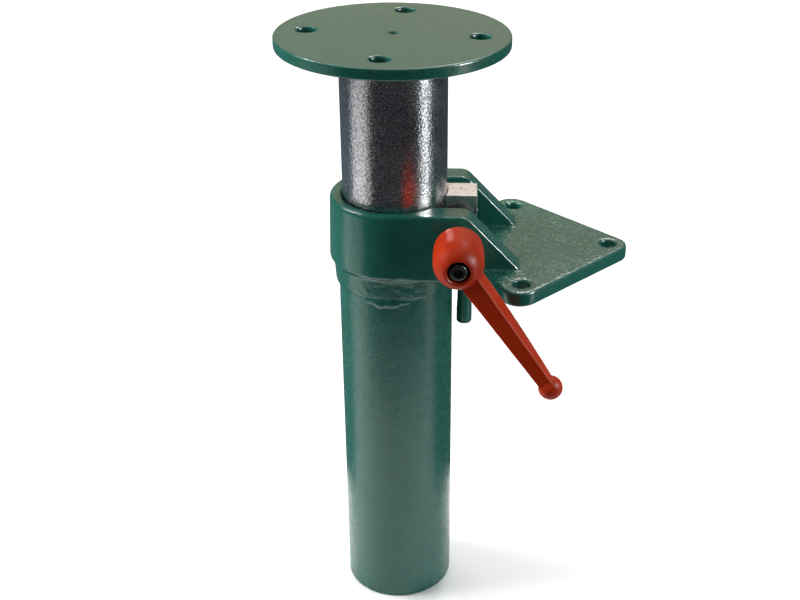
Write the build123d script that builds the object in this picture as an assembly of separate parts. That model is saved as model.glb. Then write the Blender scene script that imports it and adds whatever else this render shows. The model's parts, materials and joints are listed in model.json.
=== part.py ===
from build123d import *
import math
import os

# Height-adjustable, swivelling bench column for carrying a vice or a fixture.
# Frame: Z is the column axis and points up, the origin is the middle of the guide tube's lower end,
# +X points to the mounting plate that is bolted to the bench, and the clamp lever is on the -Y side.

# ---- driving dimensions, in millimetres ----------------------------------------------------------
COLUMN_R = 30.0            # ground steel column, 60 mm across
COLUMN_WALL = 4.0
GUIDE_RING_H = 12.0        # plastic ring in a groove near the column's lower end
GROOVE_DEPTH = 1.2
GUIDE_TUBE_R = 33.35       # painted outer tube
GUIDE_TUBE_WALL = 2.6
TUBE_TOP_Z = 231.9         # the tube ends inside the casting's socket

DISC_TOP_Z = 363.4         # rest height: the column stands part way up
DISC_T = 6.25
DISC_R = 64.2
DISC_TURN = -5.6           # the disc swivels, and rests at this angle
DISC_HOLES_R = 47.3
DISC_HOLE_R = 5.5
DISC_CENTRE_HOLE_R = 3.0
DISC_WELD_LEG = 2.5

TRAVEL_DOWN = 80.0         # the column can sink this far from rest

PLATE_TOP_Z = 240.0
PLATE_T = 8.5
HOLE_PITCH = 75.0          # three screw holes lie on the corners of a 75 mm square turned by 45 degrees
PLATE_CENTRE_X = 70.9
PLATE_HOLE_R = 4.5
PLATE_CORNER_R = 10.9
PLATE_WAIST_X = 49.8       # where the plate's side edges meet the ribs
PLATE_SIDE_X = 66.9        # the plate's side corners, before they are rounded

COLLAR_TOP_Z = 271.3
COLLAR_TOP_R = 37.2
COLLAR_FOOT_R = 38.3
COLLAR_FOOT_Z = 233.6
SKIRT_TOP_R = 36.0
SKIRT_FOOT_R = 35.1
SKIRT_FOOT_Z = 218.0
TUBE_WELD_H = 3.4          # three short welds join the skirt to the guide tube
TUBE_WELD_ARC = 64
TUBE_WELD_TURN = -142

RIB_OUTER_Y = 37.0
RIB_INNER_Y = 21.7
RIB_TOP_X = 41.4
RIB_FOOT_X = 71.0
RIB_CORNER_R = 8.0         # where a rib's flat top turns down
PIN_X = 40.6               # green pin under the plate
PIN_R = 4.3
PIN_TIP_R = 4.6
PIN_TIP_H = 15.0
PIN_SEAT = 6.0             # how deep the pin sits in the plate
PIN_BOTTOM_Z = 187.0

CLAMP_X = 36.5             # the clamp shaft runs parallel to Y
CLAMP_Z = 258.8
BOSS_R = 8.3
BLOCK_HALF_Y = 9.3
BLOCK_OUTER_X = 47.0
BLOCK_TOP_Z = 273.0
ECCENTRICITY = 0.8
FRONT_JOURNAL_R = 6.0
REAR_JOURNAL_R = 4.4
STUD_THREAD_R = 5.0        # the lever's insert is screwed on the shaft's front end
REAR_THREAD_R = 4.0
REAR_END_U = -48.0

LEVER_ANGLE = 38.4         # the arm hangs at this angle from straight down, towards the plate
HUB_BASE_U = 48.4          # distances "u" run from the column axis plane out along the clamp shaft
HUB_FRONT_U = 79.2
HUB_R = 13.8
BALL_REACH = 80.6
BALL_U = 88.0
BALL_R = 6.7
SCREW_R = 3.0              # screw that holds the lever on its insert
SCREW_HEAD_R = 4.6
SCREW_HEAD_U = 74.0
SCREW_TOP_U = 78.6
SCREW_RECESS_R = 6.0
SPRING_U = 62.2
SPRING_WIRE_R = 0.55
TEETH = 16

RUNNING = 0.05             # radial running clearance of a shaft in its bore
CLEAR = 0.3                # clearance between pieces that pass each other

# ---- worked-out dimensions -----------------------------------------------------------------------
COLUMN_BORE_R = COLUMN_R - COLUMN_WALL
TUBE_BORE_R = GUIDE_TUBE_R - GUIDE_TUBE_WALL
DISC_BOTTOM_Z = DISC_TOP_Z - DISC_T
PLATE_BOTTOM_Z = PLATE_TOP_Z - PLATE_T
HALF_DIAGONAL = HOLE_PITCH / math.sqrt(2)
PLATE_NOSE_X = PLATE_CENTRE_X + HALF_DIAGONAL + PLATE_CORNER_R * math.sqrt(2)
COLUMN_BOTTOM_Z = TRAVEL_DOWN + 18.0                     # 18 mm over the floor at the lowest
GROOVE_Z = COLUMN_BOTTOM_Z + 6.0

BUSH_R = 32.6
BUSH_TOP_Z = COLLAR_TOP_Z - 4.0
LIP_BORE_R = COLUMN_R + 0.45

CAP_T = 6.0
CAP_BOSS_Z = 16.0
ROD_R = 5.0
ROD_THREAD_R = 4.0
NUT_H = 6.5
NUT_FLATS = 13.0
CYLINDER_R = 14.0
CYLINDER_BORE_R = 12.5
CYLINDER_BOTTOM_Z = 130.0
CYLINDER_TOP_Z = 345.0
GLAND_TOP_Z = 137.0
SEAL_TOP_Z = 140.0
PISTON_Z = 240.0
PISTON_H = 10.0
STUD_R = 4.0
RACE_T = 1.4
BALL_BEARING_R = 1.0
BALL_RING_R = 9.0
BALL_COUNT = 14
BEARING_R = 12.0
PLUG_BOTTOM_Z = CYLINDER_TOP_Z + RACE_T + 2 * BALL_BEARING_R + RUNNING + RACE_T
PLUG_TOP_Z = PLUG_BOTTOM_Z + 3.4

ECCENTRIC_R = FRONT_JOURNAL_R - ECCENTRICITY - 0.05      # passes through the front bore
WASHER_U = RIB_OUTER_Y + 0.1
WASHER_R = 8.0
INSERT_U = WASHER_U + 2.0
BARREL_U = HUB_BASE_U - 0.4                              # the insert's foot stops short of the hub
TEETH_U = 50.0
TEETH_TOP_U = 53.5
BARREL_TOP_U = 58.0
BARREL_R = 6.9
CHAMBER_U = BARREL_TOP_U + 0.4                           # the lever's own end stop over the barrel
BOSS_END_Y = BLOCK_HALF_Y + CLEAR
REAR_WASHER_U = -38.7
BASE = (Align.CENTER, Align.CENTER, Align.MIN)


# ---- helpers -------------------------------------------------------------------------------------
def rod(radius, z0, z1):
    """Round bar on the Z axis."""
    return Pos(0, 0, z0) * Cylinder(radius, z1 - z0, align=BASE)


def ring(outer, inner, z0, z1):
    """Round tube on the Z axis."""
    return rod(outer, z0, z1) - rod(inner, z0 - 1, z1 + 1)


def box(x0, x1, y0, y1, z0, z1):
    """Box from its lowest to its highest corner."""
    size = (x1 - x0, y1 - y0, z1 - z0)
    return Pos(x0, y0, z0) * Box(*size, align=(Align.MIN, Align.MIN, Align.MIN))


def hex_nut(flats, thread_r, z0, z1):
    """Hexagon nut on the Z axis with its corners turned off."""
    prism = extrude(RegularPolygon(flats / 2, 6, major_radius=False), z1 - z0)
    corner = flats / math.sqrt(3)
    body = Pos(0, 0, z0) * prism & chamfer(rod(corner, z0, z1).edges().filter_by(GeomType.CIRCLE), 0.6)
    return body - rod(thread_r, z0 - 1, z1 + 1)


def along_clamp(shape, turn=0.0):
    """Moves a shape from the Z axis on to the clamp shaft: Z becomes -Y, X the turned-down direction."""
    angle = math.radians(turn)
    turned_down = (math.sin(angle), 0, -math.cos(angle))
    return Plane(origin=(CLAMP_X, 0, CLAMP_Z), x_dir=turned_down, z_dir=(0, -1, 0)).location * shape


def bolt_circle(radius, count, turn=0.0):
    """Places on a circle about the Z axis."""
    return [Rot(Z=turn + 360 * i / count) * Pos(radius, 0, 0) for i in range(count)]


def splined(root_r, tip_r, teeth, z0, z1):
    """Toothed bar on the Z axis."""
    points = []
    for i in range(2 * teeth):
        radius = tip_r if i % 2 == 0 else root_r
        angle = math.pi * i / teeth
        points.append((radius * math.cos(angle), radius * math.sin(angle)))
    return Pos(0, 0, z0) * extrude(Polygon(*points, align=None), z1 - z0)


def circles_at(shape, z, radius):
    """Circular edges of a shape that lie at one height and have one radius."""
    found = shape.edges().filter_by(GeomType.CIRCLE)
    return [e for e in found if abs(e.center().Z - z) < 0.01 and abs(e.radius - radius) < 0.01]


# ---- swivelling column ---------------------------------------------------------------------------
def top_plate():
    disc = rod(DISC_R, DISC_BOTTOM_Z, DISC_TOP_Z)
    disc = fillet(disc.edges().filter_by(GeomType.CIRCLE), 1.0)
    hole = rod(DISC_HOLE_R, DISC_BOTTOM_Z - 1, DISC_TOP_Z + 1)
    for place in bolt_circle(DISC_HOLES_R, 4, DISC_TURN):
        disc -= place * hole
    disc -= rod(DISC_CENTRE_HOLE_R, DISC_BOTTOM_Z - 1, DISC_TOP_Z + 1)
    rims = [e for e in disc.edges().filter_by(GeomType.CIRCLE) if e.radius < DISC_HOLE_R + 0.1]
    return chamfer([e for e in rims if e.center().Z > DISC_TOP_Z - 0.1], 0.7)


def column_tube():
    tube = ring(COLUMN_R, COLUMN_BORE_R, COLUMN_BOTTOM_Z, DISC_BOTTOM_Z)
    tube = chamfer(circles_at(tube, COLUMN_BOTTOM_Z, COLUMN_R), 1.0)
    groove = ring(COLUMN_R + 1, COLUMN_R - GROOVE_DEPTH, GROOVE_Z, GROOVE_Z + GUIDE_RING_H)
    return tube - groove


def guide_ring():
    top = GROOVE_Z + GUIDE_RING_H
    band = ring(TUBE_BORE_R - RUNNING, COLUMN_R - GROOVE_DEPTH, GROOVE_Z + 0.1, top - 0.1)
    gap = Rot(Z=200) * box(COLUMN_BORE_R, GUIDE_TUBE_R, -0.5, 0.5, GROOVE_Z - 1, top + 1)
    return band - gap


def column_weld():
    outer = (COLUMN_R + DISC_WELD_LEG, DISC_BOTTOM_Z)
    lower = (COLUMN_R, DISC_BOTTOM_Z - DISC_WELD_LEG)
    with BuildPart() as bead:
        with BuildSketch(Plane.XZ):
            with BuildLine():
                Polyline(lower, (COLUMN_R, DISC_BOTTOM_Z), outer)
                ThreePointArc(outer, (COLUMN_R + 1.5, DISC_BOTTOM_Z - 1.5), lower)
            make_face()
        revolve(axis=Axis.Z)
    return bead.part


def column_plug():
    plug = ring(COLUMN_BORE_R, STUD_R + 0.1, PLUG_BOTTOM_Z, PLUG_TOP_Z)
    return chamfer(circles_at(plug, PLUG_BOTTOM_Z, COLUMN_BORE_R), 0.6)


def swivel_race_upper():
    return ring(BEARING_R, STUD_R + 0.3, PLUG_BOTTOM_Z - RACE_T, PLUG_BOTTOM_Z)


# ---- gas spring: cylinder above, rod below -------------------------------------------------------
def gas_spring_cylinder():
    tube = rod(CYLINDER_R, CYLINDER_BOTTOM_Z, CYLINDER_TOP_Z)
    tube = fillet(tube.edges().filter_by(GeomType.CIRCLE), 1.2)
    return tube - rod(CYLINDER_BORE_R, CYLINDER_BOTTOM_Z - 1, CYLINDER_TOP_Z - 4)


def gas_spring_gland():
    return ring(CYLINDER_BORE_R, ROD_R + RUNNING, CYLINDER_BOTTOM_Z + 0.5, GLAND_TOP_Z)


def gas_spring_seal():
    return ring(CYLINDER_BORE_R, ROD_R + 0.03, GLAND_TOP_Z, SEAL_TOP_Z)


def gas_spring_stud():
    groove = ring(STUD_R + 1, STUD_R - 0.5, PLUG_TOP_Z + 0.3, PLUG_TOP_Z + 1.4)
    return rod(STUD_R, CYLINDER_TOP_Z, DISC_BOTTOM_Z - 1.0) - groove


def stud_circlip():
    clip = ring(STUD_R + 2.4, STUD_R - 0.5, PLUG_TOP_Z + 0.3, PLUG_TOP_Z + 1.4)
    return clip - box(1, STUD_R + 3, -1.6, 1.6, PLUG_TOP_Z, PLUG_TOP_Z + 2)


def swivel_race_lower():
    return ring(BEARING_R, STUD_R, CYLINDER_TOP_Z, CYLINDER_TOP_Z + RACE_T)


def swivel_bearing_balls():
    ball = Pos(0, 0, CYLINDER_TOP_Z + RACE_T + BALL_BEARING_R) * Sphere(BALL_BEARING_R)
    return Compound([place * ball for place in bolt_circle(BALL_RING_R, BALL_COUNT)])


def swivel_bearing_cage():
    middle = CYLINDER_TOP_Z + RACE_T + BALL_BEARING_R
    cage = ring(BEARING_R - 0.5, STUD_R + 1.5, middle - 0.5, middle + 0.5)
    for place in bolt_circle(BALL_RING_R, BALL_COUNT):
        cage -= place * rod(BALL_BEARING_R + 0.05, middle - 1, middle + 1)
    return cage


def gas_spring_rod():
    bar = rod(ROD_R, CAP_BOSS_Z + NUT_H, PISTON_Z)
    bar += rod(ROD_THREAD_R, CAP_T + 2, CAP_BOSS_Z + NUT_H)
    return bar + rod(ROD_THREAD_R, PISTON_Z, PISTON_Z + PISTON_H + 4)


def gas_spring_piston():
    piston = ring(CYLINDER_BORE_R - RUNNING, ROD_THREAD_R, PISTON_Z, PISTON_Z + PISTON_H)
    groove = ring(CYLINDER_BORE_R + 1, CYLINDER_BORE_R - 1.5, PISTON_Z + 3.5, PISTON_Z + 6.5)
    port = Pos(8.5, 0, 0) * rod(0.6, PISTON_Z - 1, PISTON_Z + PISTON_H + 1)
    return piston - groove - port


def piston_ring():
    return ring(CYLINDER_BORE_R - 0.03, CYLINDER_BORE_R - 1.5, PISTON_Z + 3.5, PISTON_Z + 6.5)


def piston_nut():
    return hex_nut(NUT_FLATS, ROD_THREAD_R, PISTON_Z + PISTON_H, PISTON_Z + PISTON_H + 4)


def rod_lock_nut():
    return hex_nut(NUT_FLATS, ROD_THREAD_R, CAP_BOSS_Z, CAP_BOSS_Z + NUT_H)


# ---- fixed guide ---------------------------------------------------------------------------------
def base_cap():
    cap = rod(TUBE_BORE_R, 0, CAP_T) + rod(12, CAP_T, CAP_BOSS_Z)
    cap -= rod(ROD_THREAD_R, CAP_T + 2, CAP_BOSS_Z + 1)
    for place in bolt_circle(21, 2, 90):
        cap -= place * rod(2.5, -1, CAP_T + 1)
    return cap


def guide_tube():
    tube = ring(GUIDE_TUBE_R, TUBE_BORE_R, 0, TUBE_TOP_Z)
    return fillet(circles_at(tube, 0, GUIDE_TUBE_R), 0.8)


def tube_weld():
    """Three fillet welds under the casting's skirt."""
    outer = (SKIRT_FOOT_R, SKIRT_FOOT_Z)
    lower = (GUIDE_TUBE_R, SKIRT_FOOT_Z - TUBE_WELD_H)
    with BuildPart() as bead:
        with BuildSketch(Plane.XZ):
            with BuildLine():
                Polyline(lower, (GUIDE_TUBE_R, SKIRT_FOOT_Z), outer)
                ThreePointArc(outer, (SKIRT_FOOT_R - 0.3, SKIRT_FOOT_Z - 1.9), lower)
            make_face()
        revolve(axis=Axis.Z, revolution_arc=TUBE_WELD_ARC)
    return Compound([place * bead.part for place in bolt_circle(0, 3, TUBE_WELD_TURN)])


def collar_bush():
    bush = ring(BUSH_R, COLUMN_R + RUNNING, TUBE_TOP_Z, BUSH_TOP_Z)
    window = RIB_INNER_Y + CLEAR
    return bush - box(0, BUSH_R + 5, -window, window, PLATE_TOP_Z, BUSH_TOP_Z + 1)


def bench_stop_pin():
    tip_top = PIN_BOTTOM_Z + PIN_TIP_H
    pin = rod(PIN_R, tip_top, PLATE_BOTTOM_Z + PIN_SEAT) + rod(PIN_TIP_R, PIN_BOTTOM_Z, tip_top)
    return Pos(PIN_X, 0, 0) * chamfer(circles_at(pin, PIN_BOTTOM_Z, PIN_TIP_R), 0.6)


def bench_plate():
    """Mounting plate: a square turned by 45 degrees whose inner corner runs into the ribs."""
    side_y = PLATE_NOSE_X - PLATE_SIDE_X
    outline = Polygon((0, -RIB_OUTER_Y), (PLATE_WAIST_X, -RIB_OUTER_Y), (PLATE_SIDE_X, -side_y),
                      (PLATE_NOSE_X, 0), (PLATE_SIDE_X, side_y), (PLATE_WAIST_X, RIB_OUTER_Y),
                      (0, RIB_OUTER_Y), align=None)
    corners = [v for v in outline.vertices() if v.X > PLATE_WAIST_X + 1]
    outline = fillet(corners, PLATE_CORNER_R)
    waist = [v for v in outline.vertices() if abs(v.X - PLATE_WAIST_X) < 0.01]
    outline = fillet(waist, 6.0)
    plate = Pos(0, 0, PLATE_BOTTOM_Z) * extrude(outline, PLATE_T)
    rim = plate.faces().sort_by(Axis.Z)[-1].outer_wire().edges()
    return fillet([e for e in rim if e.center().X > 1], 1.2)


def clamp_bracket():
    """Casting: collar and skirt round the column, two ribs, mounting plate and shaft bosses."""
    profile = Polygon((0, SKIRT_FOOT_Z), (SKIRT_FOOT_R, SKIRT_FOOT_Z), (SKIRT_TOP_R, COLLAR_FOOT_Z - 2.0),
                      (COLLAR_FOOT_R, COLLAR_FOOT_Z), (COLLAR_TOP_R, COLLAR_TOP_Z), (0, COLLAR_TOP_Z),
                      align=None)
    collar = revolve(Plane.XZ * profile, axis=Axis.Z)
    rib_side = Polygon((0, PLATE_BOTTOM_Z), (RIB_FOOT_X, PLATE_BOTTOM_Z), (RIB_FOOT_X, PLATE_TOP_Z),
                       (RIB_TOP_X, COLLAR_TOP_Z), (0, COLLAR_TOP_Z), align=None)
    corner = [v for v in rib_side.vertices() if abs(v.X - RIB_TOP_X) < 0.01]
    ribs = Pos(0, RIB_OUTER_Y, 0) * extrude(Plane.XZ * fillet(corner, RIB_CORNER_R), 2 * RIB_OUTER_Y)
    body = collar + ribs + bench_plate()
    body -= box(0, RIB_FOOT_X + 20, -RIB_INNER_Y, RIB_INNER_Y, PLATE_TOP_Z, COLLAR_TOP_Z + 1)
    for side in (-1, 1):
        start = BOSS_END_Y if side > 0 else -RIB_INNER_Y - 1
        length = RIB_INNER_Y + 1 - BOSS_END_Y
        body += Pos(CLAMP_X, start, CLAMP_Z) * Rot(X=-90) * Cylinder(BOSS_R, length, align=BASE)
    body = fillet(top_edges(body), 0.9)
    body -= rod(LIP_BORE_R, 200, COLLAR_TOP_Z + 1)
    body -= rod(BUSH_R, 200, BUSH_TOP_Z)
    body -= rod(GUIDE_TUBE_R, 200, TUBE_TOP_Z)
    body -= along_clamp(rod(FRONT_JOURNAL_R + RUNNING, 0, RIB_OUTER_Y + 1))
    body -= along_clamp(rod(REAR_JOURNAL_R + RUNNING, -RIB_OUTER_Y - 1, 0))
    body -= Pos(PIN_X, 0, 0) * rod(PIN_R, PLATE_BOTTOM_Z - 1, PLATE_BOTTOM_Z + PIN_SEAT)
    hole = rod(PLATE_HOLE_R, PLATE_BOTTOM_Z - 1, PLATE_TOP_Z + 1)
    for turn in (-90, 0, 90):
        body -= Pos(PLATE_CENTRE_X, 0, 0) * Rot(Z=turn) * Pos(HALF_DIAGONAL, 0, 0) * hole
    return body


def top_edges(body):
    """Edges round the flat top of the collar and ribs and down the ribs' slopes."""
    slope = math.atan2(COLLAR_TOP_Z - PLATE_TOP_Z, RIB_FOOT_X - RIB_TOP_X)
    chosen = []
    for edge in body.edges():
        middle = edge.position_at(0.5)
        on_top = abs(middle.Z - COLLAR_TOP_Z) < 0.01 and abs(edge.position_at(0).Z - middle.Z) < 0.01
        on_slope = abs(middle.Z - COLLAR_TOP_Z + (middle.X - RIB_TOP_X) * math.tan(slope)) < 0.05
        on_slope = on_slope and edge.length > 20 and middle.X > RIB_TOP_X + 2
        if on_top and abs(middle.Y) > 1 and edge.length > 2 or on_slope:
            chosen.append(edge)
    return [e for e in chosen if abs(e.position_at(0).Y) > 1 or abs(e.position_at(1).Y) > 1]


# ---- clamp ---------------------------------------------------------------------------------------
def clamp_block():
    """Steel block that the eccentric presses against the column."""
    block = box(COLUMN_R - 3, BLOCK_OUTER_X, -BLOCK_HALF_Y, BLOCK_HALF_Y, PLATE_TOP_Z + 0.4, BLOCK_TOP_Z)
    block = fillet([e for e in block.edges().filter_by(Axis.Z) if e.center().X > 40], 1.6)
    block -= rod(COLUMN_R + CLEAR, PLATE_TOP_Z, BLOCK_TOP_Z + 1)
    slot_r = ECCENTRIC_R + CLEAR
    slot = Pos(CLAMP_X - ECCENTRICITY, 20, CLAMP_Z) * Rot(X=90) * Cylinder(slot_r, 40, align=BASE)
    for shift in (-ECCENTRICITY, ECCENTRICITY):
        block -= Pos(0, 0, shift) * slot
    x = CLAMP_X - ECCENTRICITY
    return block - box(x - slot_r, x + slot_r, -20, 20, CLAMP_Z - ECCENTRICITY, CLAMP_Z + ECCENTRICITY)


def eccentric_shaft():
    """Clamp shaft in its own frame: u is Z, and X points straight down on the finished object."""
    shaft = rod(FRONT_JOURNAL_R, BOSS_END_Y, INSERT_U) + rod(STUD_THREAD_R, INSERT_U, BARREL_U)
    shaft += Pos(0, -ECCENTRICITY, 0) * rod(ECCENTRIC_R, -BOSS_END_Y, BOSS_END_Y)
    shaft += rod(REAR_JOURNAL_R, REAR_WASHER_U, -BOSS_END_Y) + rod(REAR_THREAD_R, REAR_END_U, REAR_WASHER_U)
    return along_clamp(shaft)


def shaft_washer():
    washer = ring(WASHER_R, FRONT_JOURNAL_R + 0.1, WASHER_U, INSERT_U)
    return along_clamp(chamfer(circles_at(washer, INSERT_U, WASHER_R), 0.4))


def rear_washer():
    return along_clamp(ring(8.5, REAR_JOURNAL_R, REAR_WASHER_U, -RIB_OUTER_Y - 0.1))


def rear_lock_nut():
    collar_u = REAR_WASHER_U - NUT_H
    nut = hex_nut(NUT_FLATS, REAR_THREAD_R, collar_u, REAR_WASHER_U)
    return along_clamp(nut + ring(5.6, REAR_THREAD_R, collar_u - 1.6, collar_u))


def lever_insert():
    """Steel insert: foot, toothed barrel, stud thread below and screw thread above."""
    body = rod(WASHER_R, INSERT_U, BARREL_U) + rod(BARREL_R, BARREL_U, BARREL_TOP_U)
    body += splined(BARREL_R + 0.1, BARREL_R + 1.1, TEETH, TEETH_U, TEETH_TOP_U)
    body -= rod(STUD_THREAD_R, INSERT_U - 1, BARREL_U)
    return along_clamp(body - rod(SCREW_R, TEETH_U + 0.5, BARREL_TOP_U + 1), LEVER_ANGLE)


def lever_screw():
    head = fillet(circles_at(rod(SCREW_HEAD_R, SCREW_HEAD_U, SCREW_TOP_U), SCREW_TOP_U, SCREW_HEAD_R), 1.0)
    head -= Pos(0, 0, SCREW_TOP_U - 2.4) * extrude(RegularPolygon(2.5, 6, major_radius=False), 4)
    return along_clamp(head + rod(SCREW_R, TEETH_U + 0.5, SCREW_HEAD_U), LEVER_ANGLE)


def lever_screw_washer():
    return along_clamp(ring(SCREW_RECESS_R - CLEAR, SCREW_R, SCREW_HEAD_U - 1, SCREW_HEAD_U))


def lever_spring():
    """Spring that pulls the lever back on to the teeth, drawn as short as the lifted lever presses it."""
    path = Helix(pitch=1.29, height=5.8, radius=4.6)
    start = Plane(origin=path @ 0, z_dir=path % 0)
    coil = sweep(start * Circle(SPRING_WIRE_R), path=path, is_frenet=True)
    return along_clamp(Pos(0, 0, SPRING_U) * coil)


def lever_handle():
    """Plastic clamping lever: domed hub, tapered arm with a ball end, tooth cavity and spring chamber."""
    with BuildPart() as hub:
        with BuildSketch(Plane.XZ):
            with BuildLine():
                Polyline((0, HUB_FRONT_U), (0, HUB_BASE_U), (12.4, HUB_BASE_U), (13.2, HUB_BASE_U + 0.8))
                Spline((13.2, HUB_BASE_U + 0.8), (HUB_R, 54.0), (HUB_R, 64.5), (12.9, 71.0),
                       (10.6, 76.2), (6.6, HUB_FRONT_U), tangents=[(0.3, 1), (-1, 0.12)])
                Line((6.6, HUB_FRONT_U), (0, HUB_FRONT_U))
            make_face()
        revolve(axis=Axis.Z)
    body = hub.part + lever_arm()
    body += Pos(BALL_REACH, 0, BALL_U) * Sphere(BALL_R)
    body -= rod(8.5, HUB_BASE_U - 1, TEETH_U) + rod(BARREL_R + 0.4, TEETH_TOP_U, CHAMBER_U)
    body -= splined(BARREL_R + CLEAR, BARREL_R + CLEAR + 1, TEETH, TEETH_U, TEETH_TOP_U)
    body -= rod(SCREW_R + CLEAR, CHAMBER_U - 1, SPRING_U)
    body -= rod(SCREW_RECESS_R, SPRING_U - 0.7, HUB_FRONT_U + 1)
    return along_clamp(body, LEVER_ANGLE)


def lever_arm():
    """Tapered arm: its side view and its plan view are two prisms, and the arm is what they share."""
    with BuildSketch(Plane.XZ) as side:
        with BuildLine():
            Polyline((5, 58.3), (5, 75.0), (BALL_REACH, 93.5), (BALL_REACH, 85.1))
            Spline((BALL_REACH, 85.1), (47.6, 68.8), (15.8, 59.9), (5, 58.3))
        make_face()
    side_prism = Pos(0, 20, 0) * extrude(side.sketch, 40)
    plan = Polygon((5, -6.0), (BALL_REACH, -3.6), (BALL_REACH, 3.6), (5, 6.0), align=None)
    arm = side_prism & Pos(0, 0, 50) * extrude(plan, 50)
    long_edges = [e for e in arm.edges() if e.bounding_box().size.X > 60]
    return fillet(long_edges, 1.1)


# ---- write every piece ---------------------------------------------------------------------------
PIECES = [
    top_plate, column_tube, guide_ring, column_weld, column_plug, swivel_race_upper,
    gas_spring_cylinder, gas_spring_gland, gas_spring_seal, gas_spring_stud, stud_circlip,
    swivel_race_lower, swivel_bearing_balls, swivel_bearing_cage,
    gas_spring_rod, gas_spring_piston, piston_ring, piston_nut, rod_lock_nut,
    base_cap, guide_tube, tube_weld, collar_bush, bench_stop_pin, clamp_bracket,
    clamp_block, eccentric_shaft, shaft_washer, rear_washer, rear_lock_nut,
    lever_insert, lever_screw, lever_screw_washer, lever_spring, lever_handle,
]

os.makedirs("parts", exist_ok=True)
for piece in PIECES:
    export_step(piece(), "parts/" + piece.__name__ + ".step")
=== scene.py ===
# %% [markdown]
# # A swivelling, height-adjustable bench column
#
# A painted guide tube hangs from a cast bracket that is bolted to a bench. A ground steel column slides
# and swivels in it and carries a round bolting plate. A red lever turns an eccentric shaft, which presses
# a steel block on the column.
#
# The engineering model already holds every size and every joint, and this lesson reads the main places
# and sizes from that frame. What it adds is how the object looks: castings with soft edges, weld beads,
# moulded plastic, ground steel and thick enamel.

# %% Load the frame
import json
import math

import bmesh
import bpy
from mathutils import Matrix, Vector


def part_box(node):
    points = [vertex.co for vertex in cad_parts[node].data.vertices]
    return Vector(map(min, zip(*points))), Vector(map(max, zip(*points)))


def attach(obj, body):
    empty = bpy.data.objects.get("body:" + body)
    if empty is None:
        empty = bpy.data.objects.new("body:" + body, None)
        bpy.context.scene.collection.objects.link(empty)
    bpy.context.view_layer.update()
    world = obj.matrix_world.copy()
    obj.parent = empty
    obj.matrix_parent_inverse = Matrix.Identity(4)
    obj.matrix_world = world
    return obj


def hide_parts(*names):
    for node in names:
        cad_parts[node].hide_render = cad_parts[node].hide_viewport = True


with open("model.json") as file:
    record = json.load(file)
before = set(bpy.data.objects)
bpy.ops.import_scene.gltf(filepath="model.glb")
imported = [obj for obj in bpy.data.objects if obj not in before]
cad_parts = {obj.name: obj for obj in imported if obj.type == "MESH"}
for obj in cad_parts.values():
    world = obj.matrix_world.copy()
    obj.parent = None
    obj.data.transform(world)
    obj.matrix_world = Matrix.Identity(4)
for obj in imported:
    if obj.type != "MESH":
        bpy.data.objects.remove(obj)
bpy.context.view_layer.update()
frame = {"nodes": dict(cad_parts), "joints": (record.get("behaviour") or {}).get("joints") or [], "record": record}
NODES = frame["nodes"]

# %% [markdown]
# ## Sizes
#
# Blender counts in metres, and small mechanical details are easier to think of in millimetres, so a
# helper value MM turns one into the other. The mounts in the record give the screw holes, and the clamp
# joint gives the axis that the lever and its shaft turn on.

# %% Sizes read from the frame
MM = 0.001
COLUMN_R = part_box("column_tube")[1].x
GUIDE_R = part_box("guide_tube")[1].x
DISC_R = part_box("top_plate")[1].x
DISC_BOTTOM, DISC_TOP = (corner.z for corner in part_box("top_plate"))
CAST_FOOT, CAST_TOP = (corner.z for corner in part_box("clamp_bracket"))
PLATE_NOSE_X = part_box("clamp_bracket")[1].x
MOUNTS = {mount["name"]: mount for mount in frame["record"]["mounts"]}
JOINTS = {joint["name"]: joint for joint in frame["joints"]}
CLAMP_AXIS = Vector(JOINTS["clamp_turn"]["pos_m"])
PLATE_BOTTOM = MOUNTS["bench_face"]["pos_m"][2]
PLATE_TOP = PLATE_BOTTOM + MOUNTS["bench_nose_hole"]["dims"]["length_mm"] * MM
print("column", round(2 * COLUMN_R / MM, 1), "mm, guide tube", round(2 * GUIDE_R / MM, 1), "mm across")

# %% [markdown]
# ## Working in edit mode from a script
#
# By hand, a piece is opened with Tab, a few faces are clicked, and E, S or G shapes them. A script does
# the same: it opens one object, clears the selection, picks elements by where they are or which way they
# face, and calls the operators behind those keys.

# %% Helpers for edit mode
def open_mesh(piece):
    """Opens one piece in edit mode with nothing selected."""
    bpy.ops.object.select_all(action="DESELECT")
    piece.select_set(True)
    bpy.context.view_layer.objects.active = piece
    bpy.ops.object.mode_set(mode="EDIT")
    bpy.ops.mesh.select_all(action="DESELECT")


def pick(piece, kind, test):
    """Selects the faces, edges or verts that pass a test, and nothing else."""
    bpy.ops.mesh.select_all(action="DESELECT")
    bpy.ops.mesh.select_mode(type={"faces": "FACE", "edges": "EDGE", "verts": "VERT"}[kind])
    mesh = bmesh.from_edit_mesh(piece.data)
    for item in getattr(mesh, kind):
        if test(item):
            item.select_set(True)
    bmesh.update_edit_mesh(piece.data)


def close_mesh():
    bpy.ops.object.mode_set(mode="OBJECT")


def settle(piece, name=None):
    """Moves a piece's place, turn and scale into its mesh, so that its object sits at the origin."""
    bpy.ops.object.select_all(action="DESELECT")
    piece.select_set(True)
    bpy.context.view_layer.objects.active = piece
    bpy.ops.object.transform_apply(location=True, rotation=True, scale=True)
    if name:
        piece.name = name
    return piece


# %% [markdown]
# ## Modifiers, used once and applied
#
# A boolean joins or cuts closed shapes. A voxel remesh then pours one even skin over them, and a few
# rounds of smoothing soften every edge, inside corners too. That is how a casting under thick paint
# looks, and bevelling each edge by hand would take hours to say the same.

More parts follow.
